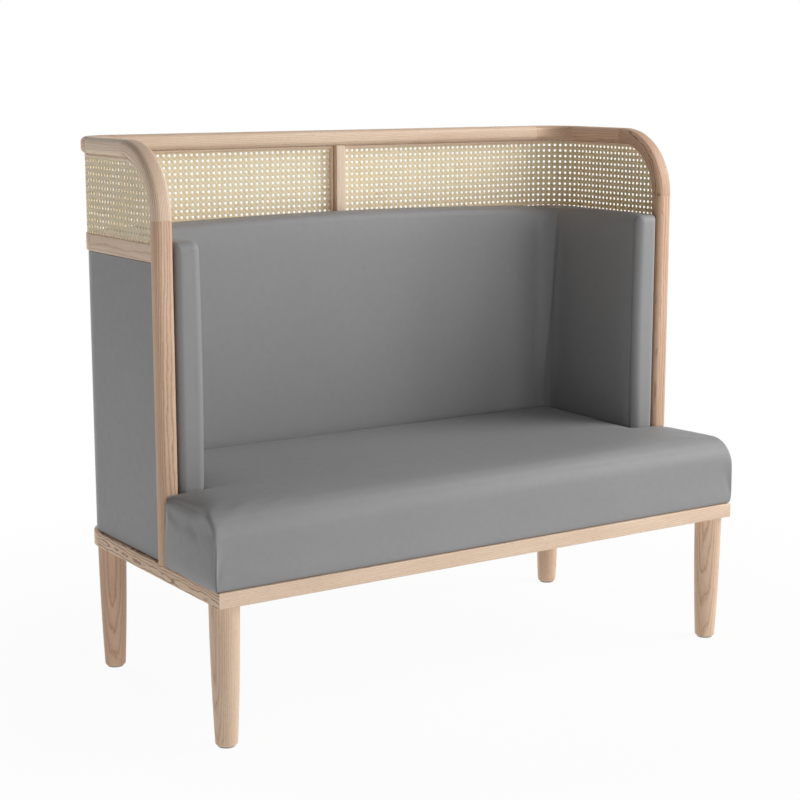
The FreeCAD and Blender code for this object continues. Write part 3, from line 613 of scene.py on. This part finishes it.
def opening_loop():
    """Corners and turns of the left opening, each with the way in to its middle."""
    loop = [((0, mid_top), (1, 1)), ((0, bend_z), (1, 0))]
    centre = (bend_y - post_back_y, bend_z)
    for angle in np.linspace(0, math.pi / 2, 21)[1:]:
        out = np.array((-math.cos(angle), math.sin(angle)))
        loop.append((np.array(centre) + out * opening_bend, -out))
    turns = list(np.linspace(side_run, wall_end, 25))
    loop += [((run, hoop_under), (0, -1)) for run in turns]
    loop += [((stile_edge, hoop_under), (-1, -1)), ((stile_edge, mid_top), (-1, 1))]
    loop += [((run, mid_top), (0, 1)) for run in turns[::-1]]
    return loop


bead = rounded(bead_width, bead_depth, 2.0, 3)
bead += (bead_gap + bead_width / 2, bead_inset + bead_depth / 2)
for side, hand in side_names.items():
    loop, around = opening_loop(), len(bead)
    points, grain, distance, before = [], [], 0.0, loop[0][0]
    for place, inward in loop:
        distance += np.hypot(*np.subtract(place, before))
        before = place
        run = place[0] + bead[:, 0] * inward[0]
        z = place[1] + bead[:, 0] * inward[1] * (bead_low if place[1] == mid_top else 1)
        points.append(wall_point(run, z, bead[:, 1]))
        grain.append(np.stack([np.full(around, distance), bead[:, 0] + 60,
                               bead[:, 1] + 30 * side], 1))
    faces = np.array(tube_faces(len(loop) + 1, around)) % (len(loop) * around)
    piece = raise_mesh("oak_cane_bead_" + hand, np.vstack(points) * (-side, 1, 1),
                       faces.tolist(), oak, 50)
    fit_oak(piece, np.vstack(grain) * MM, (0.0, 0.25, 0.3), "cane_bead_" + hand)


# Outer panels: thin boards with a skin of foam under grey leather, its edges
# turned in, set into the frame between the base and the middle rail.
panel_low, panel_high, panel_inset, panel_thickness = 317.5, 912.25, 6.5, 6.0
panel_gap = 0.3


def grey_leather():
    """Satin leather: a fine pebble, faint pull lines and a slow drift of shade."""
    finish, tree, shader = new_finish("grey_leather")
    place = object_place(tree)
    cloud = speckle(tree, place, (60, 60, 60), 4.0, 0.6)
    pull = speckle(tree, place, (22, 22, 9), 3.0)
    grit = speckle(tree, place, (900, 900, 900))
    pebbles = add_node(tree, "TexVoronoi", {"Vector": place, "Scale": 720.0}, feature="SMOOTH_F1")
    body = stain(tree, speckle(tree, place, (3, 3, 3), 3.0), srgb(157, 157, 158),
                 srgb(147, 147, 148))
    body = stain(tree, ramp(tree, cloud, [(0.4, 0.0), (0.75, 0.16)]), body, srgb(133, 133, 134))
    height = scaled(tree, pebbles.outputs["Distance"], 0.5, times(tree, grit, 0.2))
    height = worked(tree, "ADD", height, times(tree, pull, 2.0))
    feed(tree, shader, {"Base Color": body, "Roughness": scaled(tree, cloud, 0.14, 0.43),
                        "Normal": bumped(tree, height, 0.22, 0.0003), "Specular IOR Level": 0.3})
    return finish


leather = grey_leather()


def covered_panel(name, node, side, runs):
    """A thin covered panel that follows the wall between its first and last run."""
    profile = rounded(panel_high - panel_low, panel_thickness, 2.6, 4)
    z = profile[:, 0] + (panel_low + panel_high) / 2
    inset = panel_inset + panel_thickness / 2 - profile[:, 1]
    points = np.vstack([wall_point(run, z, inset) for run in runs])
    piece = raise_mesh(name, points * (-side if side else 1, 1, 1),
                       tube_faces(len(runs), len(profile), True), leather, 50)
    fit(piece, "grey_leather", node)


runs = np.concatenate([[panel_gap], np.linspace(side_run, wall_end, 40)])
for side, hand in side_names.items():
    covered_panel("leather_panel_" + hand, "outer_panel_" + hand, side, runs)
covered_panel("leather_panel_back", "outer_panel_back", 0, [wall_end, wall_end + 2 * corner_x])


# Boards: birch plywood behind the padding and under the seat, screwed to the softwood
# studs and the seat frame, and a black cloth stapled under it all.
refinish(plain_timber("birch_plywood", (0, 0, 0), (0, 0.09, 0.21), 0.011,
                      ((230, 210, 174), (218, 194, 152), (198, 166, 120))),
         "back_pad_board", "side_pad_board_left", "side_pad_board_right", "seat_deck")
lining, tree, shader = new_finish("black_lining")
fleck = speckle(tree, object_place(tree), (1400, 1400, 1400))
feed(tree, shader, {"Base Color": stain(tree, fleck, srgb(30, 30, 31), srgb(52, 52, 54)),
                    "Roughness": 0.9, "Normal": bumped(tree, fleck, 0.4, 0.0003)})
refinish(lining, "dust_cover")


# Inner padding: foam over the boards under one run of grey leather, coved at the
# rear corners, rolled at the front and top, and seamed behind the front rolls.
pad_low, pad_top, pad_crown = 317.0, 954.0, 11.0
pad_front, pad_face_x, pad_outer_x = -96.5, 556.0, 612.0
pad_face_y, pad_outer_y, pad_cove, outer_turn = 238.5, 280.5, 42.0, 57.0
front_roll, back_roll, pad_seam_y, pad_split_y = 18.5, 0.75, -76.7, 176.0
behind_roll, behind_loss, least_roll = 9.0, 0.48, 0.2
board_top, rail_lap = 936.0, 6.9
swell_low, front_swell, side_swell, back_share, face_depth = 430, 2.5, 3.0, 0.8, 20
seam_reach, seam_depth, seam_drop, seam_hold = 1.7, 3.4, 1.6, 1.3
seat_line = 470


def pad_stations():
    """Inner and outer places in plan, from the left front to the right, and each one's roll."""
    stations = []
    near = [0, 0.5, 1.2, 2.4, 4, 6, 8.5, 12, 15.5, 17.4, 18.5, 19.8, 21, 22.4, 24, 30]
    for y in [pad_front + step for step in near] + [*np.linspace(-54, pad_split_y, 17), 186.0]:
        rise = max(0.0, front_roll - (y - pad_front))
        roll = front_roll - math.sqrt(front_roll ** 2 - rise ** 2)
        stations.append(((-pad_face_x, y), (-pad_outer_x, y), roll))
    turn_y, turn_x, outer_x = pad_face_y - pad_cove, pad_face_x - pad_cove, pad_outer_x - outer_turn
    first, bend, last = corner_y - turn_y, outer_turn * math.pi / 2, outer_x - turn_x
    for share in np.linspace(0, 1, 17):
        angle = share * math.pi / 2
        inner = (-turn_x - pad_cove * math.cos(angle), turn_y + pad_cove * math.sin(angle))
        gone = share * (first + bend + last)
        swing = risen(gone, first, bend) * math.pi / 2
        outer = (-outer_x - outer_turn * math.cos(swing) + max(0, gone - first - bend),
                 corner_y - max(0, first - gone) + outer_turn * math.sin(swing))
        stations.append((inner, outer, 0.0))
    for x in np.linspace(-turn_x, 0, 36)[1:]:
        stations.append(((x, pad_face_y), (x, pad_outer_y), 0.0))
    return stations + [((-i[0], i[1]), (-o[0], o[1]), roll) for i, o, roll in stations[-2::-1]]


def pad_section(inner, outer, roll):
    """One upright section: up the face, over the top and down behind."""
    inner, outer = np.array(inner), np.array(outer)
    width = np.linalg.norm(outer - inner)
    on_side = abs(inner[0]) > pad_face_x - 1
    on_back = max(0.0, 1 - (inner[0] / pad_face_x) ** 2) if inner[1] >= pad_face_y - 0.1 else 0.0
    top = pad_top + pad_crown * on_back - roll
    start, end = roll, width - roll * back_roll
    near = max(least_roll, front_roll - roll)
    far = max(least_roll, behind_roll - roll * behind_loss)
    angles = np.linspace(0, math.pi / 2, 9)
    rise = np.linspace(0, 1, 41)[:-1]
    face = [(start, pad_low + (top - near - pad_low) * share) for share in rise]
    face += [(start + near * (1 - math.cos(a)), top - near + near * math.sin(a)) for a in angles]
    face += [(start + near + (end - far - start - near) * share, top) for share in (0.33, 0.67)]
    behind = [(end - far + far * math.sin(a), top - far + far * math.cos(a)) for a in angles]
    behind += [(end, top - far - (top - far - pad_low) * share) for share in 1 - rise[::-1]]
    section = np.array(face + behind)

    def near_face():
        return 1 - risen(section[:, 0], start, face_depth)

    over_board = risen(section[:, 1], board_top, 7) * risen(inner[1], -58, 12)
    section[:, 0] += rail_lap * over_board * risen(section[:, 0] - start, near, end - start - near)
    swell = risen(section[:, 1], swell_low, top - swell_low)
    bulge = np.sin(math.pi * swell ** 0.85) * near_face()
    if on_side:
        section[:, 0] -= bulge * (front_swell + side_swell * risen(inner[1], pad_front, 40))
        seam = math.exp(-((inner[1] - pad_seam_y) / seam_reach) ** 2)
        section[:, 0] += seam * seam_depth * near_face()
        section[:, 1] -= seam * seam_drop * risen(section[:, 1] - top, -12, 12)
    else:
        section[:, 0] -= bulge * (front_swell + side_swell) * back_share
    plan = inner + section[:, :1] * ((outer - inner) / width)
    return np.hstack([plan, section[:, 1:]])


stations = pad_stations()
sections = np.array([pad_section(*station) for station in stations])


def press_out(piece, held, most=3.0, pressure=4.0, frames=20):
    """Lets the foam press the leather out a little, held where it is glued or sewn."""
    group = piece.vertex_groups.new(name="held")
    group.add(np.flatnonzero(held).tolist(), 1.0, "REPLACE")
    cloth = piece.modifiers.new("press", "CLOTH")
    settings = cloth.settings
    settings.vertex_group_mass = "held"
    settings.use_pressure = True
    settings.uniform_pressure_force = pressure
    settings.effector_weights.gravity = 0
    settings.quality = 3
    cloth.collision_settings.use_collision = False
    for moment in range(1, frames + 1):
        bpy.context.scene.frame_set(moment)
    pressed = piece.evaluated_get(bpy.context.evaluated_depsgraph_get()).data
    count = len(piece.data.vertices)
    before, after = np.zeros(3 * count, np.float32), np.zeros(3 * count, np.float32)
    piece.data.vertices.foreach_get("co", before)
    pressed.vertices.foreach_get("co", after)
    moved = (after - before).reshape(-1, 3) / MM
    far = np.linalg.norm(moved, axis=1)
    kept = most * (1 - np.exp(-far / most)) / np.maximum(far, 1e-6)
    piece.modifiers.remove(cloth)
    piece.vertex_groups.remove(group)
    bpy.context.scene.frame_set(1)
    moved = (moved * kept[:, None] * MM).ravel().astype(np.float32)
    piece.data.vertices.foreach_set("co", before + moved)
    piece.data.update()


def pad_piece(name, node, first, last):
    """One pad cut from the run, its ends closed by rows that join its face to its back."""
    part = sections[first:last + 1]
    around, between = part.shape[1], 7
    half = around // 2
    points = list(part.reshape(-1, 3))
    faces = tube_faces(len(part), around)
    for ring in (0, len(part) - 1):
        rows = []
        for row in range(half):
            face, behind = ring * around + row, ring * around + around - 1 - row
            inside = []
            if 0 < row < half - 1:
                inside = list(range(len(points), len(points) + between))
                points += [points[face] + (points[behind] - points[face]) * share
                           for share in np.linspace(0, 1, between + 2)[1:-1]]
            rows.append([face, *inside, behind])
        for low, high in zip(rows, rows[1:]):
            if len(low) == len(high):
                faces += [[low[n], low[n + 1], high[n + 1], high[n]] for n in range(len(low) - 1)]
            else:
                faces.append(low + high[::-1])
    piece = raise_mesh(name, points, faces, leather, 60)
    places, ring = np.array(points), np.arange(len(part) * around) // around
    behind = np.arange(len(part) * around) % around >= half
    beside_cut = (ring < 2) & (first > 0) | (ring > len(part) - 3) & (last < len(sections) - 1)
    held = np.ones(len(points), bool)
    held[:len(ring)] = behind | beside_cut | (places[:len(ring), 2] < seat_line)
    held |= abs(places[:, 1] - pad_seam_y) < seam_hold
    press_out(piece, held)
    fit(piece, "grey_leather", node)


split = next(n for n, station in enumerate(stations) if station[0][1] >= pad_split_y)
other_split = len(stations) - 1 - split
pad_piece("leather_side_pad_left", "side_pad_left", 0, split)
pad_piece("leather_back_pad", "back_pad", split, other_split)
pad_piece("leather_side_pad_right", "side_pad_right", other_split, len(stations) - 1)


# Seat cushion: one crowned foam seat in grey leather, hollow under its boards. Front and
# top are one hide over a deep roll, seamed up the front corners to a boxing panel at
# each end, and stapled under the seat frame.
seat_low, seat_edge, seat_crown, deck_rest = 317.3, 462.5, 8.5, 413.3
seat_front, wing_back, stem_x, stem_back = -315.5, -96.8, 555.7, 238.2
front_curve, rear_curve, seat_foam, seam_top = 47.0, 6.0, 22.0, 412.0
front_steps = [0, 1.1, 2.6, 6, 11, 16, seat_foam, 29, 35, 41, front_curve]
rear_steps = [0, 1, 2.2, 4, rear_curve, 10, 16, seat_foam, 30]
end_steps = [0, 1.1, 2.6, 5, 8, 11, 14, 18, seat_foam]
front_core, top_core = seat_front + front_curve, seat_edge - front_curve


def cut_lines(low, high, steps_low, steps_high, step):
    """Places from low to high: close together near the ends and evenly spread between."""
    start, end = low + steps_low[-1], high - steps_high[-1]
    middle = np.linspace(start, end, max(2, round((end - start) / step) + 1))
    return np.concatenate([low + np.array(steps_low[:-1]), middle,
                           (high - np.array(steps_high[:-1]))[::-1]])


half_x = np.concatenate([cut_lines(0, stem_x, [0], rear_steps, 13)[:-1],
                         cut_lines(stem_x, half_width, [0, 2, 5, 10], end_steps, 10)])
grid_x = np.concatenate([-half_x[:0:-1], half_x])
grid_y = np.concatenate([cut_lines(seat_front, wing_back, front_steps, rear_steps, 11)[:-1],
                         cut_lines(wing_back, stem_back, [0, 2, 5, 10], rear_steps, 13)])
grid_z = seat_edge - cut_lines(0, seat_edge - seat_low, front_steps, [0, 1.5, 4, 8], 12)
stem_last = int(np.argmin(abs(grid_y - wing_back)))
on_wing = abs(grid_x) > stem_x + 0.01


def seat_skin():
    """Points and faces of a T-shaped block: its top, its walls and its underside."""
    number, points, faces = {}, [], []
    bottom = len(grid_z) - 1

    def point(i, j, k):
        if (i, j, k) not in number:
            number[i, j, k] = len(points)
            points.append((grid_x[i], grid_y[j], grid_z[k]))
        return number[i, j, k]

    def cell(i, j):
        inside = 0 <= i < len(grid_x) - 1 and 0 <= j < len(grid_y) - 1
        return inside and not (j >= stem_last and (on_wing[i] or on_wing[i + 1]))

    for i in range(len(grid_x) - 1):
        for j in range(len(grid_y) - 1):
            if not cell(i, j):
                continue
            corners = [(i, j), (i + 1, j), (i + 1, j + 1), (i, j + 1)]
            faces.append([point(*corner, 0) for corner in corners])
            faces.append([point(*corner, bottom) for corner in corners[::-1]])
            for beside, a, b in (((i, j - 1), 0, 1), ((i + 1, j), 1, 2), ((i, j + 1), 2, 3),
                                 ((i - 1, j), 3, 0)):
                if not cell(*beside):
                    a, b = corners[a], corners[b]
                    for k in range(bottom):
                        faces.append([point(*a, k), point(*a, k + 1), point(*b, k + 1),
                                      point(*b, k)])
    return np.array(points), faces


def eased(share):
    """A share from 0 to 1 that sets off and arrives gently."""
    return share ** 2 * (3 - 2 * share)


def rolled(a, b):
    """Makes the square corner of two rolls round: both are measured out from their core."""
    both = np.hypot(a, b)
    share = np.where((a > 0) & (b > 0), np.maximum(a, b) / np.maximum(both, 1e-9), 1.0)
    return a * share, b * share


def end_outline(y, z, roll):
    """Distance inside the outline of the wing's end, tight at its rear edge, and the way out."""
    a, b = front_core - y, z - top_core
    far = np.hypot(a, b)
    in_roll = (a > 0) & (b > 0)
    tight = np.minimum(1, rear_curve / roll)
    gaps = np.stack([y - seat_front, seat_edge - z, (wing_back - y) / tight])
    ways = np.array([(-1, 0), (0, 1), (1, 0)], float)[gaps.argmin(0)]
    ways[:, 0] *= np.where(gaps.argmin(0) == 2, tight, 1)
    gap = np.where(in_roll, front_curve - far, gaps.min(0))
    way = np.where(in_roll[:, None], np.stack([-a, b], 1) / np.maximum(far, 1e-9)[:, None], ways)
    return gap, way


skin, faces = seat_skin()
hand = np.where(skin[:, 0] < 0, -1.0, 1.0)
flat_x, flat_y, flat_z = abs(skin[:, 0]), skin[:, 1], skin[:, 2]
x, y, z = flat_x.copy(), flat_y.copy(), flat_z.copy()
a, b = rolled(front_core - y, z - top_core)
y = np.where(flat_y < front_core, front_core - a, y)
z = np.where((flat_z > top_core) & (flat_y < front_core), top_core + b, z)

# Rear edges: a tight roll all round the stem and along the wings' backs
to_side = np.where(flat_y > wing_back - 0.01, stem_x - x, half_width)
to_back = np.where(x > stem_x - 0.01, wing_back - y, stem_back - y)
corner_gap = np.hypot(stem_x - x, wing_back - y)
in_quarter = (x < stem_x + 0.01) & (y < wing_back + 0.01)
at_corner = in_quarter & (corner_gap < 0.001)
side_first = ~in_quarter & (to_side < to_back)
out_x = np.where(in_quarter, (stem_x - x) / np.maximum(corner_gap, 1e-6), side_first)
out_y = np.where(in_quarter, (wing_back - y) / np.maximum(corner_gap, 1e-6), ~side_first)
out_x, out_y = (np.where(at_corner, math.sqrt(0.5), out) for out in (out_x, out_y))
gap = np.where(in_quarter, corner_gap, np.minimum(to_side, to_back))
push, lift = np.clip(rear_curve - gap, 0, None), z - (seat_edge - rear_curve)
new_push, new_lift = rolled(push, lift)
moves = (push > 0) & (lift > 0)
x = np.where(moves, x + out_x * (new_push - push), x)
y = np.where(moves, y + out_y * (new_push - push), y)
z = np.where(moves, seat_edge - rear_curve + new_lift, z)
core_x, core_y = stem_x - rear_curve, stem_back - rear_curve
a, b = rolled(x - core_x, y - core_y)
on_corner = (x > core_x) & (y > core_y)
x, y = np.where(on_corner, core_x + a, x), np.where(on_corner, core_y + b, y)

# Ends of the wings: tight where the seam runs up the front corner, then opening into a
# soft roll over the top
tight_roll, open_roll, soft_roll = 3.0, 5.0, 14.0
opening, behind = risen(z, 400, 44), risen(y - seat_front, 22, 78)
end_roll = tight_roll + eased(opening) * (open_roll + soft_roll * eased(behind))
broad = 1 + 0.4 * behind
gap, way = end_outline(y, z, end_roll)
push, lift = (x - (half_width - end_roll * broad)) / broad, np.clip(end_roll - gap, 0, None)
on_end = (push > 0) & (flat_y < wing_back + 0.01)
new_push, new_lift = rolled(push, lift)
x = np.where(on_end, half_width + (new_push - end_roll) * broad, x)
y = np.where(on_end & (lift > 0), y + way[:, 0] * (new_lift - lift), y)
z = np.where(on_end & (lift > 0), z + way[:, 1] * (new_lift - lift), z)

# Fullness: the crown of the seat and the swell of the front and ends
front_full, end_full, end_more = 3.4, 3.0, 3.8
crown_reach = np.array([[17], [60], [45], [38]])
past_wing = np.where(flat_y > wing_back, stem_x - flat_x,
                     np.hypot(np.maximum(0, stem_x - flat_x), wing_back - flat_y))
gaps = np.stack([half_width - flat_x, flat_y - seat_front, stem_back - flat_y, past_wing])
crown = seat_crown * (1 - np.exp(-np.clip(gaps, 0, None) / crown_reach)).prod(0)
z = z + crown * risen(z, 411, 50)
swell = np.interp(risen(flat_z, seat_low, seat_edge - seat_low),
                  [0, 0.05, 0.14, 0.32, 0.55, 0.75, 0.9, 1],
                  [0.5, 0.85, 0.95, 1, 1, 0.95, 0.85, 0.7])
forward = eased(risen(wing_back - flat_y, 0, 120))
x = x + swell * (end_full + end_more * forward) * risen(x, 575, 75) ** 2
y = y - front_full * swell * risen(seat_front + 30 - y, 0, 30)

# Edges that are drawn in: the seam up each front corner, the tuck over the base rail,
# and the hollow that the boards and the seat frame fill
seam_in, seam_back, tuck_in, hem, edge_hold = 3.2, 2.6, 1.2, 9, 4
on_end, on_front = flat_x > half_width - 0.1, flat_y < seat_front + 0.1
sewn = (on_end & on_front) * risen(seam_top + 14 - flat_z, 0, 20)
x, y = x - seam_in * sewn, y + seam_back * sewn
tuck = tuck_in * risen(seat_low + 5 - flat_z, 0, 5) ** 2
x = np.where(on_end & (flat_y < wing_back + 0.1), x - tuck, x)
y = np.where(on_front, y + tuck, y)
inside = gaps.min(0)
z = np.where((flat_z < seat_low + 0.1) & (inside > seat_foam - 0.1), deck_rest, z)
cushion = raise_mesh("leather_seat_cushion", np.stack([x * hand, y, z], 1), faces, leather, 180)
on_rear = (flat_y > wing_back + edge_hold) & (inside < edge_hold)
hidden = (flat_z < seat_low + hem) | (on_rear & (flat_z < seat_edge - edge_hold))
press_out(cushion, hidden | (sewn > 0.4))
smoothing = cushion.modifiers.new("smooth", "SUBSURF")
smoothing.levels = smoothing.render_levels = 1
fit(cushion, "grey_leather", "seat_cushion")


# Studio: a broad soft key from the right, one above, low fills from the front and the
# left, and one behind that shines through the cane, over white paper on the floor that
# keeps a faint shadow of the booth.
def soft_light(name, place, target, power, glossy=True):
    lamp = bpy.data.lights.new(name, "AREA")
    lamp.shape, lamp.size, lamp.size_y, lamp.energy = "RECTANGLE", 2.4, 2.2, power
    light = bpy.data.objects.new(name, lamp)
    light.location = place
    light.visible_glossy = glossy
    light.rotation_euler = (Vector(target) - Vector(place)).to_track_quat("-Z", "Y").to_euler()
    bpy.context.scene.collection.objects.link(light)


def looked_at(tree):
    """1 where a surface is looked at, straight or by a reflection or through glass, else 0."""
    rays = add_node(tree, "LightPath").outputs
    seen = worked(tree, "MAXIMUM", rays["Is Camera Ray"], rays["Is Glossy Ray"])
    return worked(tree, "MAXIMUM", seen, rays["Is Transmission Ray"])


soft_light("key", (4.6, -2.2, 2.2), (0, 0, 0.6), 100)
soft_light("overhead", (2.6, -1.6, 3.2), (0, 0, 0.5), 72)
soft_light("front", (1.0, -4.8, 1.6), (0, 0, 0.6), 56)
soft_light("left_side", (-4.6, -0.6, 1.1), (0, 0, 0.6), 17)
soft_light("rear", (-0.6, 4.4, 1.7), (0, 0, 0.8), 105, glossy=False)
world = bpy.data.worlds.new("studio")
bpy.context.scene.world = world
world.use_nodes = True
sky, dim = world.node_tree, 0.03
feed(sky, sky.nodes["Background"], {"Color": (1, 1, 1, 1),
                                    "Strength": scaled(sky, looked_at(sky), 1 - dim, dim)})

floor_reach, bounce = 9e3, 0.56
paper, tree, shader = new_finish("studio_paper")
feed(tree, shader, {"Base Color": (0.8, 0.8, 0.8, 1), "Roughness": 0.9,
                    "Specular IOR Level": 0.0})
away = add_node(tree, "VectorMath", {0: object_place(tree)}, operation="LENGTH").outputs["Value"]
bright = add_node(tree, "MapRange", {"Value": away, "From Min": 0.8, "From Max": 1.8,
                                     "To Min": 0.95, "To Max": 1.0}).outputs[0]
glow = add_node(tree, "Emission", {"Color": (1, 1, 1, 1), "Strength": 1.0}).outputs[0]
share = worked(tree, "MAXIMUM", times(tree, looked_at(tree), bright), bounce)
mixed = add_node(tree, "MixShader", {0: share, 1: shader.outputs[0], 2: glow}).outputs[0]
feed(tree, tree.nodes["Material Output"], {"Surface": mixed})
corners = [(-1, -1, 0), (1, -1, 0), (1, 1, 0), (-1, 1, 0)]
floor = raise_mesh("floor", np.array(corners) * floor_reach, [(0, 1, 2, 3)], paper)
bpy.context.scene.view_settings.view_transform = "Standard"
